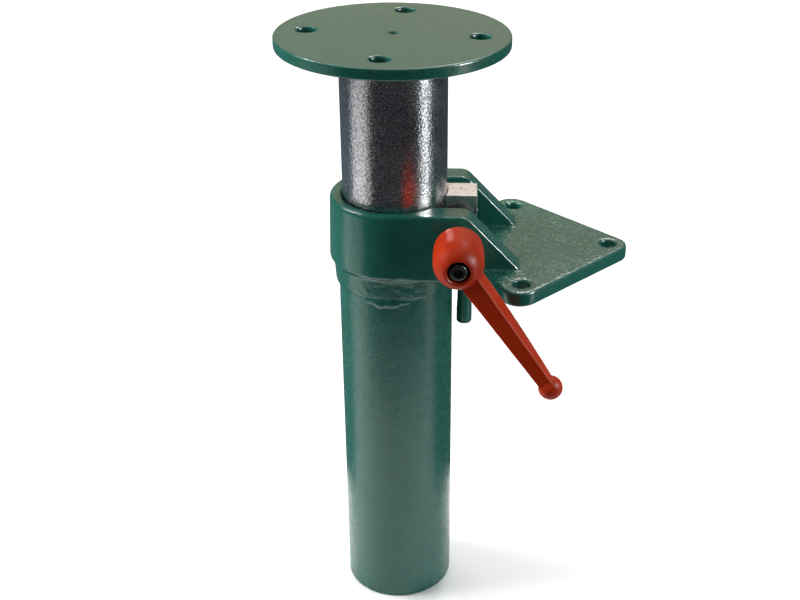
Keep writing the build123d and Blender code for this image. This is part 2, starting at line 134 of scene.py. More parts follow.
# %% Helpers for modifiers
def change(piece, kind, **settings):
    """Adds one modifier with its settings and applies it."""
    modifier = piece.modifiers.new(kind.title(), kind)
    for setting, value in settings.items():
        setattr(modifier, setting, value)
    bpy.ops.object.select_all(action="DESELECT")
    piece.select_set(True)
    bpy.context.view_layer.objects.active = piece
    bpy.ops.object.modifier_apply(modifier=modifier.name)
    return piece


def add(piece, other):
    """Joins a second closed shape to the first."""
    change(piece, "BOOLEAN", operation="UNION", solver="EXACT", object=other)
    bpy.data.objects.remove(other)


def cut(piece, cutter):
    """Cuts the second shape out of the first."""
    change(piece, "BOOLEAN", operation="DIFFERENCE", solver="EXACT", object=cutter)
    bpy.data.objects.remove(cutter)


def cast_skin(piece, voxel, rounds):
    """One even skin with soft edges over the whole piece."""
    change(piece, "REMESH", mode="VOXEL", voxel_size=voxel)
    change(piece, "SMOOTH", factor=0.5, iterations=rounds)
    open_mesh(piece)
    bpy.ops.mesh.select_all(action="SELECT")
    bpy.ops.mesh.faces_shade_smooth()
    close_mesh()


def shade(piece, degrees=35):
    """Smooth shading, except over sharper edges. Weighted normals then keep large flat faces flat."""
    bpy.ops.object.select_all(action="DESELECT")
    piece.select_set(True)
    bpy.context.view_layer.objects.active = piece
    bpy.ops.object.shade_smooth_by_angle(angle=math.radians(degrees))
    change(piece, "WEIGHTED_NORMAL", keep_sharp=True, weight=100)


# %% [markdown]
# ## Turned shapes
#
# Discs, pins, hubs and bores are all turned. Each could be spun from a drawn profile. Raising a cylinder
# ring by ring with extrude and scale gives the same shape, is closed from the start and needs no clean-up
# at a seam, so that is how it is done here.

# %% Raise a round piece ring by ring
def turned(name, rings, sides=128):
    """A round closed shape on the Z axis. Each ring is (height, radius)."""
    (low, first), (high, second) = rings[:2]
    middle = (0, 0, (low + high) / 2)
    bpy.ops.mesh.primitive_cylinder_add(vertices=sides, radius=first, depth=high - low, location=middle)
    piece = settle(bpy.context.object, name)
    open_mesh(piece)
    pick(piece, "faces", lambda face: face.normal.z > 0.9)
    scale = second / first
    bpy.ops.transform.resize(value=(scale, scale, 1), center_override=(0, 0, high))
    for (from_z, from_r), (to_z, to_r) in zip(rings[1:], rings[2:]):
        bpy.ops.mesh.extrude_region_move(TRANSFORM_OT_translate={"value": (0, 0, to_z - from_z)})
        scale = to_r / from_r
        bpy.ops.transform.resize(value=(scale, scale, 1), center_override=(0, 0, to_z))
    close_mesh()
    return piece


def quarter(z, radius, edge, steps=5, rising=True):
    """Rings of a quarter-round edge. It starts or ends on a flat face at height z."""
    rings = []
    for step in range(steps + 1):
        turn = math.pi / 2 * step / steps
        side = edge * (1 - math.cos(turn))
        drop = edge * (1 - math.sin(turn))
        rings.append((z - drop, radius - side) if rising else (z + side, radius - drop))
    return rings


def hole_cutter(x, y, low, high, radius, flare):
    """Cutter for a screw hole. Its two mouths are rounded over the height of the flare."""
    rings = [(low - MM, radius + 1.2 * flare), (low, radius + 0.9 * flare)]
    rings += [(low + 0.35 * flare, radius + 0.3 * flare), (low + flare, radius)]
    rings += [(high - flare, radius), (high - 0.35 * flare, radius + 0.3 * flare)]
    rings += [(high, radius + 0.9 * flare), (high + MM, radius + 1.2 * flare)]
    cutter = turned("cutter", rings, 64)
    cutter.location = (x, y, 0)
    return settle(cutter)


def block_of(name, low, high):
    """A box between two corners."""
    low, high = Vector(low), Vector(high)
    bpy.ops.mesh.primitive_cube_add(size=1, location=(low + high) / 2)
    bpy.context.object.scale = high - low
    return settle(bpy.context.object, name)


# %% [markdown]
# ## The bolting plate on top of the column
#
# A flame-cut or turned steel disc, rounded at its rims by filing and by thick enamel, with four screw
# holes and a small centre hole from turning it. The holes lie on the bolt circle that the record states,
# and the disc rests turned by a few degrees, which the frame shows by where its holes are.

# %% Make the top plate
DISC_EDGE = 1.1 * MM
DISC_TURN = math.radians(-5.6)
BOLT_FLARE = 1.4 * MM
CENTRE_HOLE_R = 2.0 * MM
CENTRE_FLARE = 1.0 * MM
BOLTS = MOUNTS["top_bolts"]["dims"]


def make_top_plate():
    rings = quarter(DISC_BOTTOM, DISC_R, DISC_EDGE, rising=False)
    rings += quarter(DISC_TOP, DISC_R, DISC_EDGE)
    disc = turned("bolting_plate", rings, 256)
    reach = BOLTS["pcd_mm"] / 2 * MM
    for place in range(BOLTS["count"]):
        turn = DISC_TURN + math.tau * place / BOLTS["count"]
        x, y = reach * math.cos(turn), reach * math.sin(turn)
        cut(disc, hole_cutter(x, y, DISC_BOTTOM, DISC_TOP, BOLTS["hole_r_mm"] * MM, BOLT_FLARE))
    cut(disc, hole_cutter(0, 0, DISC_BOTTOM, DISC_TOP, CENTRE_HOLE_R, CENTRE_FLARE))
    shade(disc, 50)
    return disc


top_plate = make_top_plate()
print("bolting plate:", len(top_plate.data.polygons), "faces")

# %% [markdown]
# ## The cast bracket
#
# Collar, skirt, two ribs, the mounting plate and two shaft bosses are one casting. Each starts as its own
# simple shape that is pushed into place in edit mode. The shapes overlap, so a union joins them, cutters
# take out the bores, and the skin is poured over the whole. Cutting first and pouring the skin last gives
# the bores the same soft painted mouths as the real ones have.

# %% Collar and skirt
COLLAR_R = 37.2 * MM
COLLAR_FOOT_R = 38.3 * MM
COLLAR_FOOT_Z = 233.6 * MM
SKIRT_TOP_R = 36.0 * MM
SKIRT_FOOT_R = 35.1 * MM
COLLAR_STEP = 2.0 * MM
COLLAR_EDGE = 1.2 * MM
CASTING_SIDES = 192


def collar():
    rings = [(CAST_FOOT, SKIRT_FOOT_R), (COLLAR_FOOT_Z - COLLAR_STEP, SKIRT_TOP_R)]
    rings += [(COLLAR_FOOT_Z, COLLAR_FOOT_R), (CAST_TOP - COLLAR_EDGE, COLLAR_R)]
    rings.append((CAST_TOP, COLLAR_R - COLLAR_EDGE))
    return turned("casting", rings, CASTING_SIDES)


casting = collar()

# %% Ribs
RIB_OUTER_Y = 37.0 * MM
RIB_INNER_Y = 21.7 * MM
RIB_TOP_X = 41.4 * MM
RIB_FOOT_X = 71.0 * MM
RIB_CORNER = 3.2 * MM
RIB_EDGE = 1.0 * MM


def ribs():
    """Both ribs as one wedge, which is slotted later. Its sloping edge runs down to the plate."""
    wedge = block_of("ribs", (0, -RIB_OUTER_Y, PLATE_BOTTOM + MM), (RIB_FOOT_X, RIB_OUTER_Y, CAST_TOP))
    open_mesh(wedge)
    bpy.ops.mesh.select_all(action="SELECT")
    bpy.ops.mesh.bisect(plane_co=(0, 0, PLATE_TOP), plane_no=(0, 0, 1))
    pick(wedge, "verts", lambda v: v.co.x > RIB_FOOT_X - MM and v.co.z > CAST_TOP - MM)
    bpy.ops.transform.translate(value=(RIB_TOP_X - RIB_FOOT_X, 0, 0))
    pick(wedge, "edges", lambda e: all(abs(v.co.x - RIB_TOP_X) < 1e-5 for v in e.verts))
    bpy.ops.mesh.bevel(offset=RIB_CORNER, segments=6, affect="EDGES")
    close_mesh()
    change(wedge, "BEVEL", width=RIB_EDGE, segments=2, limit_method="ANGLE", angle_limit=math.radians(40))
    return wedge


add(casting, ribs())

# %% Mounting plate
SIDE_CORNER_X = 66.9 * MM
NOSE_ROUNDING = 4.514 * MM
SIDE_CORNER_Y = PLATE_NOSE_X + NOSE_ROUNDING - SIDE_CORNER_X
WAIST_X = 49.8 * MM
CORNER_R = 10.9 * MM
PLATE_EDGE = 1.2 * MM
PLATE_FLARE = 1.3 * MM


def mounting_plate():
    """A square turned by 45 degrees. It grows from the ribs' foot by extruding one edge twice."""
    bpy.ops.mesh.primitive_plane_add(size=1, location=(WAIST_X / 2, 0, PLATE_TOP))
    bpy.context.object.scale = (WAIST_X, 2 * RIB_OUTER_Y, 1)
    plate = settle(bpy.context.object, "plate")
    open_mesh(plate)
    pick(plate, "edges", lambda e: all(v.co.x > WAIST_X - MM for v in e.verts))
    bpy.ops.mesh.extrude_region_move(TRANSFORM_OT_translate={"value": (SIDE_CORNER_X - WAIST_X, 0, 0)})
    widen = SIDE_CORNER_Y / RIB_OUTER_Y
    bpy.ops.transform.resize(value=(1, widen, 1), center_override=(SIDE_CORNER_X, 0, PLATE_TOP))
    bpy.ops.mesh.extrude_region_move(TRANSFORM_OT_translate={"value": (SIDE_CORNER_Y, 0, 0)})
    bpy.ops.mesh.merge(type="CENTER")
    bpy.ops.mesh.select_all(action="SELECT")
    bpy.ops.mesh.dissolve_limited(angle_limit=math.radians(0.5))
    pick(plate, "verts", lambda v: v.co.x > SIDE_CORNER_X + MM)
    bpy.ops.mesh.bevel(offset=CORNER_R, segments=10, affect="VERTICES")
    side_turn = math.radians(135) - math.atan2(SIDE_CORNER_X - WAIST_X, SIDE_CORNER_Y - RIB_OUTER_Y)
    pick(plate, "verts", lambda v: abs(abs(v.co.y) - SIDE_CORNER_Y) < 1e-5)
    bpy.ops.mesh.bevel(offset=1.07 * CORNER_R * math.tan(side_turn / 2), segments=12, affect="VERTICES")
    bpy.ops.mesh.select_all(action="SELECT")
    bpy.ops.mesh.extrude_region_move(TRANSFORM_OT_translate={"value": (0, 0, PLATE_BOTTOM - PLATE_TOP)})
    bpy.ops.mesh.select_all(action="SELECT")
    bpy.ops.mesh.normals_make_consistent(inside=False)
    close_mesh()
    change(plate, "BEVEL", width=PLATE_EDGE, segments=3, limit_method="ANGLE", angle_limit=math.radians(40))
    return plate


add(casting, mounting_plate())

# %% Shaft bosses and the slot between the ribs
BOSS_R = 8.3 * MM
BOSS_END_Y = 9.6 * MM


def across_y(name, radius, low, high):
    """A round bar on the clamp axis, between two places along Y."""
    bar = turned(name, [(low, radius), (high, radius)], 96)
    bar.rotation_euler = (math.radians(-90), 0, 0)
    bar.location = (CLAMP_AXIS.x, 0, CLAMP_AXIS.z)
    return settle(bar)


cut(casting, block_of("slot", (0, -RIB_INNER_Y, PLATE_TOP), (0.1, RIB_INNER_Y, CAST_TOP + MM)))
for start, end in ((BOSS_END_Y, RIB_INNER_Y + MM), (-RIB_INNER_Y - MM, -BOSS_END_Y)):
    add(casting, across_y("boss", BOSS_R, start, end))
print("casting before its bores:", len(casting.data.polygons), "faces")

# %% Bores and screw holes
BUSH_R = 32.6 * MM
BUSH_TOP = CAST_TOP - 4.0 * MM
LIP_R = COLUMN_R + 0.5 * MM
BORE_STEP = 0.1 * MM
MOUTH_DEPTH = 0.8 * MM
MOUTH_FLARE = 1.6 * MM
TUBE_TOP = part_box("guide_tube")[1].z
FRONT_JOURNAL_R = 6.05 * MM
REAR_JOURNAL_R = 4.45 * MM


def bore_cutter():
    """The tube's socket, the bush's seat above it and the lip around the column."""
    rings = [(CAST_FOOT - MM, GUIDE_R), (TUBE_TOP, GUIDE_R)]
    rings += [(TUBE_TOP + BORE_STEP, BUSH_R), (BUSH_TOP, BUSH_R)]
    rings += [(BUSH_TOP + BORE_STEP, LIP_R), (CAST_TOP - MOUTH_DEPTH, LIP_R)]
    rings.append((CAST_TOP + MM, LIP_R + MOUTH_FLARE))
    return turned("cutter", rings, CASTING_SIDES)


cut(casting, bore_cutter())
cut(casting, across_y("cutter", FRONT_JOURNAL_R, -RIB_OUTER_Y - MM, 0))
cut(casting, across_y("cutter", REAR_JOURNAL_R, 0, RIB_OUTER_Y + MM))
NOSE = MOUNTS["bench_nose_hole"]
PLATE_HOLE_R = NOSE["dims"]["r_mm"] * MM
SIDE_HOLES = MOUNTS["bench_bolts"]
side_x = SIDE_HOLES["pos_m"][0]
side_y = SIDE_HOLES["dims"]["spacing_y_mm"] / 2 * MM
for x, y in ((NOSE["pos_m"][0], 0), (side_x, side_y), (side_x, -side_y)):
    cut(casting, hole_cutter(x, y, PLATE_BOTTOM, PLATE_TOP, PLATE_HOLE_R, PLATE_FLARE))
print("casting with its bores:", len(casting.data.polygons), "faces")

# %% [markdown]
# ## Pour the skin and roughen the skirt
#
# The foundry left the skirt under the collar rough, and nobody filed it, because it is hard to reach.
# A displacement with a cloud texture moves the skin by a few tenths of a millimetre there, and a vertex
# group fades it out towards the smooth collar. The plate's upper face gets a finer, flatter grain.

# %% Skin of the casting
CAST_VOXEL = 0.78 * MM
FADE_START = COLLAR_FOOT_Z + 3.0 * MM
FADE_HEIGHT = 5.0 * MM
RIB_ROOT_X = 34 * MM


def roughen(piece, name, weight, size, strength):
    """Moves the skin in and out by a cloud pattern, as far as the weight of each point allows."""
    group = piece.vertex_groups.new(name=name)
    for vertex in piece.data.vertices:
        amount = weight(vertex.co)
        if amount > 0:
            group.add([vertex.index], amount, "REPLACE")
    clouds = bpy.data.textures.new(name, "CLOUDS")
    clouds.noise_scale = size
    change(piece, "DISPLACE", texture=clouds, strength=strength, mid_level=0.5, vertex_group=name)
    bpy.data.textures.remove(clouds)
    piece.vertex_groups.clear()


def on_skirt(point):
    """Full strength on the outside of the skirt, fading out over the collar."""
    outside = math.hypot(point.x, point.y) > GUIDE_R + MM
    fade = (FADE_START - point.z) / FADE_HEIGHT
    return min(max(fade, 0.0), 1.0) if outside and point.x < RIB_ROOT_X else 0.0


def on_plate_top(point):
    """Full strength on the plate's upper face, beyond the ribs' flat tops."""
    near = abs(point.z - PLATE_TOP) < MM and point.x > RIB_TOP_X
    return 1.0 if near else 0.0


cast_skin(casting, CAST_VOXEL, 5)
roughen(casting, "skirt", on_skirt, 3.4 * MM, 0.30 * MM)
roughen(casting, "plate_top", on_plate_top, 2.4 * MM, 0.22 * MM)
print("casting skin:", len(casting.data.polygons), "faces")

# %% [markdown]
# ## Weld beads
#
# A weld bead is a row of overlapping coins of frozen metal. So one coin is modelled, copied along an arc,
# and all copies are fused by the same skin that made the casting. Uneven sizes and heights make the bead
# look laid by hand. The numbers come from a sine, so they are the same in every run.

# %% Lay a weld bead
WELD_VOXEL = 0.45 * MM
COIN_SPACING = 0.55
COIN_SHAPE = (0.62, 0.8, 1.05)


def weld_bead(name, radius, height, start, end, coin_r, sag=0.0, rounds=2):
    """Coins along an arc about the column, between two angles in degrees, smaller towards the ends."""
    arc = math.radians(end - start) * radius
    count = int(arc / (COIN_SPACING * coin_r))
    bpy.ops.mesh.primitive_uv_sphere_add(segments=20, ring_count=12, radius=coin_r, location=(0, 0, 0))
    coin = settle(bpy.context.object, name)
    open_mesh(coin)
    bpy.ops.mesh.select_all(action="SELECT")
    bpy.ops.transform.resize(value=COIN_SHAPE, center_override=(0, 0, 0))
    close_mesh()
    coins = []
    for step in range(count):
        share = step / (count - 1)
        angle = math.radians(start + (end - start) * share)
        uneven = 0.5 + 0.5 * math.sin(2.4 * step) * math.cos(0.7 * step)
        drop = sag * math.sin(math.pi * share) ** 2 + 0.25 * coin_r * uneven
        copy = coin.copy()
        copy.data = coin.data.copy()
        bpy.context.scene.collection.objects.link(copy)
        size = (0.82 + 0.3 * uneven) * (0.55 + 0.45 * math.sin(math.pi * share))
        place = Matrix.Translation((radius, 0, height - drop)) @ Matrix.Diagonal((size, size, size, 1))
        copy.matrix_world = Matrix.Rotation(angle, 4, "Z") @ place
        coins.append(copy)
    bpy.data.objects.remove(coin)
    bpy.ops.object.select_all(action="DESELECT")
    for copy in coins:
        copy.select_set(True)
    bpy.context.view_layer.objects.active = coins[0]
    bpy.ops.object.join()
    bead = settle(bpy.context.object, name)
    cast_skin(bead, WELD_VOXEL, rounds)
    return bead


# %% Skirt and disc welds
FRONT_WELD_R = GUIDE_R + 0.8 * MM
WELD_R = GUIDE_R + 0.7 * MM
WELD_Z = CAST_FOOT - 0.4 * MM
DISC_WELD_R = COLUMN_R + 0.6 * MM
DISC_WELD_Z = DISC_BOTTOM - 0.7 * MM
front_weld = weld_bead("skirt_weld_front", FRONT_WELD_R, CAST_FOOT, -120, -76, 3.6 * MM, 1.0 * MM, 8)
side_weld = weld_bead("skirt_weld_side", WELD_R, WELD_Z, -34, 26, 2.3 * MM, 0.6 * MM)
back_weld = weld_bead("skirt_weld_back", WELD_R, WELD_Z, 100, 160, 2.2 * MM, 0.6 * MM)
disc_weld = weld_bead("disc_weld", DISC_WELD_R, DISC_WELD_Z, 0, 358, 1.8 * MM)
print("weld beads:", [len(bead.data.polygons) for bead in (front_weld, side_weld, back_weld, disc_weld)])

# %% [markdown]
# ## Machined boss faces
#
# The two shaft bosses are faced off square at their outer ends. A facing cutter leaves a crisp rim
# that the poured skin would soften away, so each face is a short turned ring of its own, a little wider
# than its boss. Its black colour is painted shade: it stands for the dark gap between boss and block.

# %% Face the bosses
FACING_R = BOSS_R + 0.9 * MM
FACING_DEPTH = 4.0 * MM
FACING_EDGE = 0.3 * MM


def boss_facing(name, side, bore_r):
    """A ring on the clamp axis. Side is -1 for the lever's side and 1 for the far side."""
    rings = [(0, FACING_R)] + quarter(FACING_DEPTH, FACING_R, FACING_EDGE)
    ring = turned(name, rings, 96)
    cut(ring, turned("cutter", [(-MM, bore_r), (FACING_DEPTH + MM, bore_r)], 64))
    ring.rotation_euler = (math.radians(90 * side), 0, 0)
    ring.location = (CLAMP_AXIS.x, side * (BOSS_END_Y + FACING_DEPTH), CLAMP_AXIS.z)
    settle(ring)
    shade(ring)
    return ring


front_facing = boss_facing("front_boss_face", -1, FRONT_JOURNAL_R)
rear_facing = boss_facing("rear_boss_face", 1, REAR_JOURNAL_R)
print("boss faces:", len(front_facing.data.polygons), len(rear_facing.data.polygons), "faces")

# %% [markdown]
# ## The pin under the plate
#
# A plain steel pin, painted with the bracket. The enamel ran down and left its lower half a little
# thicker, so its rings widen towards the foot before the rounded end.

# %% Make the pin
PIN_LOW, PIN_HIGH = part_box("bench_stop_pin")
PIN_R = (PIN_HIGH.x - PIN_LOW.x) / 2
PIN_X = (PIN_HIGH.x + PIN_LOW.x) / 2


def make_pin():
    rings = quarter(PIN_LOW.z, PIN_R, 1.4 * MM, rising=False)
    rings += [(PIN_LOW.z + 9 * MM, PIN_R), (PIN_LOW.z + 16 * MM, PIN_R - 0.35 * MM)]
    rings += [(PIN_LOW.z + 26 * MM, PIN_R - 0.45 * MM), (PLATE_BOTTOM - 2.4 * MM, PIN_R - 0.4 * MM)]
    rings += [(PLATE_BOTTOM - 0.8 * MM, PIN_R - 0.1 * MM), (PLATE_BOTTOM + 0.5 * MM, PIN_R + 0.5 * MM)]
    pin = turned("stop_pin", rings, 64)
    pin.location = (PIN_X, 0, 0)
    settle(pin)
    shade(pin)
    return pin


pin = make_pin()

# %% [markdown]
# ## The clamp block
#
# A sawn and blasted piece of steel bar that hangs on the eccentric between the bosses. Its inner face
# is hollowed to the column, and a slot lets the eccentric lift and drop in it while it pushes the block.
# The corners are only broken with a file, so a narrow bevel is enough.

# %% Make the clamp block
BLOCK_LOW, BLOCK_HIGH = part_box("clamp_block")
ECCENTRIC_SLOT_R = 5.5 * MM
ECCENTRICITY = 0.8 * MM
COLUMN_GAP = 0.3 * MM


def make_clamp_block():
    block = block_of("pressure_block", (COLUMN_R - 3 * MM, BLOCK_LOW.y, BLOCK_LOW.z), BLOCK_HIGH)
    hollow_r = COLUMN_R + COLUMN_GAP
    cut(block, turned("cutter", [(BLOCK_LOW.z - MM, hollow_r), (BLOCK_HIGH.z + MM, hollow_r)], 256))
    slot = across_y("cutter", ECCENTRIC_SLOT_R, -20 * MM, 20 * MM)
    slot.location = (-ECCENTRICITY, 0, -ECCENTRICITY)
    settle(slot)
    open_mesh(slot)
    pick(slot, "verts", lambda v: v.co.z > CLAMP_AXIS.z - ECCENTRICITY)
    bpy.ops.transform.translate(value=(0, 0, 2 * ECCENTRICITY))
    close_mesh()
    cut(block, slot)
    change(block, "BEVEL", width=0.45 * MM, segments=3, limit_method="ANGLE", angle_limit=math.radians(40))
    shade(block, 30)
    return block


clamp_block = make_clamp_block()
print("clamp block:", len(clamp_block.data.polygons), "faces")

# %% [markdown]
# ## The clamping lever
#
# Injection-moulded, with a domed hub, a tapering arm with flat faces and a small ball at its end. The
# dome is a formula, flatter than a sphere at its flank. The arm is extruded section by section, so that
# its back can be curved. The skin has finer voxels than the casting's, because a mould has crisper edges.

# %% Frame of the lever
HANDLE_LOW, HANDLE_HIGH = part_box("lever_handle")
HUB_BASE = -HANDLE_HIGH.y
LEVER_ANGLE = math.radians(38.4)
HUB_R = 13.8 * MM
HUB_FRONT = 79.2 * MM
SHOULDER = 64.5 * MM
BALL_R = 6.7 * MM
BALL_REACH = 80.6 * MM
BALL_OUT = -HANDLE_LOW.y - BALL_R


def along_lever(piece):
    """Moves a shape made on the Z axis to the clamp shaft. Z then points outwards and X along the arm."""
    x_axis = Vector((math.sin(LEVER_ANGLE), 0, -math.cos(LEVER_ANGLE)))
    z_axis = Vector((0, -1, 0))
    y_axis = z_axis.cross(x_axis)
    place = Matrix((x_axis, y_axis, z_axis)).transposed().to_4x4()
    place.translation = (CLAMP_AXIS.x, 0, CLAMP_AXIS.z)
    piece.matrix_world = place
    return settle(piece)


# %% Hub, arm and ball
DOME_POWER = 2.3
DOME_DEPTH = 16.05 * MM
DOME_STEPS = 14
ARM_ROOT = 5.0 * MM
ARM_STEPS = 14
ARM_FRONT = 75.0 * MM
ARM_FRONT_RISE = 18.5 * MM
ARM_BACK = 58.3 * MM
ARM_BACK_RISE = 26.8 * MM
ARM_BACK_HOLLOW = 18.7 * MM
ARM_HALF_WIDTH = 5.5 * MM
ARM_TAPER = 1.9 * MM
ARM_BULGE = 1.06


def hub():
    rings = [(HUB_BASE, 12.6 * MM), (HUB_BASE + 0.25 * MM, 13.0 * MM), (HUB_BASE + 0.8 * MM, 13.3 * MM)]
    rings += [(HUB_BASE + 3 * MM, 13.6 * MM), (HUB_BASE + 7 * MM, HUB_R)]
    for step in range(1, DOME_STEPS + 1):
        out = (HUB_FRONT - SHOULDER) * step / DOME_STEPS
        rings.append((SHOULDER + out, HUB_R * (1 - (out / DOME_DEPTH) ** DOME_POWER) ** (1 / DOME_POWER)))
    return turned("lever", rings, 128)


def arm():
    """Extruded along X. The front is flat, the back is hollow and the sides bulge at the parting line."""

    def section(share):
        front = ARM_FRONT + ARM_FRONT_RISE * share
        back = ARM_BACK + ARM_BACK_RISE * share - ARM_BACK_HOLLOW * share * (1 - share)
        half_width = ARM_HALF_WIDTH - ARM_TAPER * share
        return (front + back) / 2, front - back, half_width

    reach = (BALL_REACH - ARM_ROOT) / ARM_STEPS
    middle, tall, half = section(0)
    low = (ARM_ROOT, -half, middle - tall / 2)
    bar = block_of("arm", low, (ARM_ROOT + reach, half, middle + tall / 2))
    open_mesh(bar)
    pick(bar, "edges", lambda e: abs(e.verts[0].co.z - e.verts[1].co.z) > MM)
    bpy.ops.mesh.subdivide(number_cuts=1)
    pick(bar, "verts", lambda v: abs(v.co.z - middle) < 1e-5)
    bpy.ops.transform.resize(value=(1, ARM_BULGE, 1), center_override=(0, 0, middle))
    bpy.ops.transform.translate(value=(0, 0, -0.12 * tall))
    pick(bar, "faces", lambda f: f.normal.x > 0.9)
    for step in range(1, ARM_STEPS + 1):
        to_middle, to_tall, to_half = section(step / ARM_STEPS)
        if step > 1:
            bpy.ops.mesh.extrude_region_move(TRANSFORM_OT_translate={"value": (reach, 0, 0)})
        x = ARM_ROOT + reach * step
        scale = (1, to_half / half, to_tall / tall)
        bpy.ops.transform.translate(value=(0, 0, to_middle - middle))
        bpy.ops.transform.resize(value=scale, center_override=(x, 0, to_middle))
        middle, tall, half = to_middle, to_tall, to_half
    close_mesh()
    change(bar, "BEVEL", width=0.55 * MM, segments=3, limit_method="ANGLE", angle_limit=math.radians(50))
    return bar


def ball():
    bpy.ops.mesh.primitive_uv_sphere_add(segments=64, ring_count=32, radius=BALL_R,
                                         location=(BALL_REACH, 0, BALL_OUT))
    return settle(bpy.context.object, "ball")


# %% Cut the lever's bores
INSERT_R = 8.5 * MM
INSERT_CHAMFER = 0.4 * MM
INSERT_END = 50.0 * MM
TEETH = 16
TEETH_END = 53.5 * MM
TOOTH_ROOT_R = 7.3 * MM
TOOTH_TIP_R = 8.3 * MM
SPRING_ROOM_R = 7.4 * MM
SPRING_ROOM_END = 58.4 * MM
SCREW_HOLE_R = 3.5 * MM
SCREW_HOLE_END = 62.0 * MM
RECESS_R = 5.8 * MM
RECESS_FLOOR = 61.5 * MM
OVERLAP = 0.1 * MM


def toothed_cutter(low, high):
    """A toothed bar: every second line of a cylinder is pushed out."""
    cutter = turned("cutter", [(low, TOOTH_ROOT_R), (high, TOOTH_ROOT_R)], 2 * TEETH)
    open_mesh(cutter)
    tooth = math.tau / TEETH
    pick(cutter, "verts", lambda v: abs(math.remainder(math.atan2(v.co.y, v.co.x), tooth)) < tooth / 8)
    scale = TOOTH_TIP_R / TOOTH_ROOT_R
    bpy.ops.transform.resize(value=(scale, scale, 1), center_override=(0, 0, 0))
    close_mesh()
    return cutter


def make_lever():
    lever = hub()
    add(lever, arm())
    add(lever, ball())
    socket = [(HUB_BASE - MM, INSERT_R + INSERT_CHAMFER), (HUB_BASE + INSERT_CHAMFER, INSERT_R)]
    socket.append((INSERT_END, INSERT_R))
    cut(lever, turned("cutter", socket, 64))
    cut(lever, toothed_cutter(INSERT_END - OVERLAP, TEETH_END))
    spring_room = [(TEETH_END - OVERLAP, SPRING_ROOM_R), (SPRING_ROOM_END, SPRING_ROOM_R)]
    cut(lever, turned("cutter", spring_room, 64))
    screw_hole = [(SPRING_ROOM_END - OVERLAP, SCREW_HOLE_R), (SCREW_HOLE_END, SCREW_HOLE_R)]
    cut(lever, turned("cutter", screw_hole, 48))
    recess = [(RECESS_FLOOR, RECESS_R), (HUB_FRONT - 2.6 * MM, RECESS_R), (HUB_FRONT - 1.4 * MM, 6.2 * MM)]
    recess += [(HUB_FRONT - 0.5 * MM, 7.0 * MM), (HUB_FRONT + 0.5 * MM, 8.4 * MM)]
    cut(lever, turned("cutter", recess, 96))
    cast_skin(lever, 0.42 * MM, 2)
    lever.name = "clamp_lever"
    return along_lever(lever)


lever = make_lever()
print("lever:", len(lever.data.polygons), "faces")

# %% [markdown]
# ## The screw in the lever
#
# It holds the lever on its toothed insert against a spring. The head is turned with a domed edge and has
# a hexagon socket, cut with a six-sided cylinder.

# %% Make the lever screw
SCREW_LOW, SCREW_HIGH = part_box("lever_screw")
HEAD_TOP = -SCREW_LOW.y
HEAD_R = (SCREW_HIGH.z - SCREW_LOW.z) / 2 + 0.3 * MM
HEAD_SEAT = 74.0 * MM
HEAD_DOME = 1.6 * MM
SHANK_R = 2.9 * MM
SHANK_TIP = 50.6 * MM
HEXAGON_R = 2.9 * MM
HEXAGON_DEPTH = 2.6 * MM


def make_screw():
    rings = [(SHANK_TIP, SHANK_R), (HEAD_SEAT, SHANK_R)]
    rings += [(HEAD_SEAT + 0.05 * MM, HEAD_R - 0.3 * MM), (HEAD_SEAT + 0.35 * MM, HEAD_R)]
    rings += quarter(HEAD_TOP, HEAD_R, HEAD_DOME, steps=7)
    screw = turned("retaining_screw", rings, 64)
    cut(screw, turned("cutter", [(HEAD_TOP - HEXAGON_DEPTH, HEXAGON_R), (HEAD_TOP + MM, HEXAGON_R)], 6))
    change(screw, "BEVEL", width=0.18 * MM, segments=2, limit_method="ANGLE", angle_limit=math.radians(50))
    shade(screw, 40)
    return along_lever(screw)


screw = make_screw()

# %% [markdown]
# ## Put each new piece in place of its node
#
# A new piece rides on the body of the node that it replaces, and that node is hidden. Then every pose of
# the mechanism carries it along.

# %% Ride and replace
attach(top_plate, "column")
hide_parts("top_plate")
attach(disc_weld, "column")
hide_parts("column_weld")
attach(casting, "bracket")
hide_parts("clamp_bracket")
for bead in (front_weld, side_weld, back_weld):
    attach(bead, "bracket")
for ring in (front_facing, rear_facing):
    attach(ring, "bracket")
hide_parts("tube_weld")
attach(pin, "bracket")
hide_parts("bench_stop_pin")
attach(clamp_block, "block")
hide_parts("clamp_block")
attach(lever, "lever")
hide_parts("lever_handle")
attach(screw, "spindle")
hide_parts("lever_screw")

# %% [markdown]
# ## Building a material from nodes
#
# Every finish here is a Principled shader plus patterns that live in the object's own space, in metres.
# A pattern of size 1 mm therefore has a scale of about 1000. Two helpers keep the node work short: one
# adds a noise pattern, the other turns a pattern into bumps of a stated height.

# %% Helpers for materials
def new_material(name, color, roughness, metallic=0.0, **sockets):
    """A Principled material whose even values sit on the shader's own sockets."""
    material = bpy.data.materials.new(name)
    material.use_nodes = True
    shader = material.node_tree.nodes["Principled BSDF"]
    shader.inputs["Base Color"].default_value = (*color, 1)
    shader.inputs["Roughness"].default_value = roughness
    shader.inputs["Metallic"].default_value = metallic
    for socket, value in sockets.items():
        shader.inputs[socket.replace("_", " ")].default_value = value
    return material


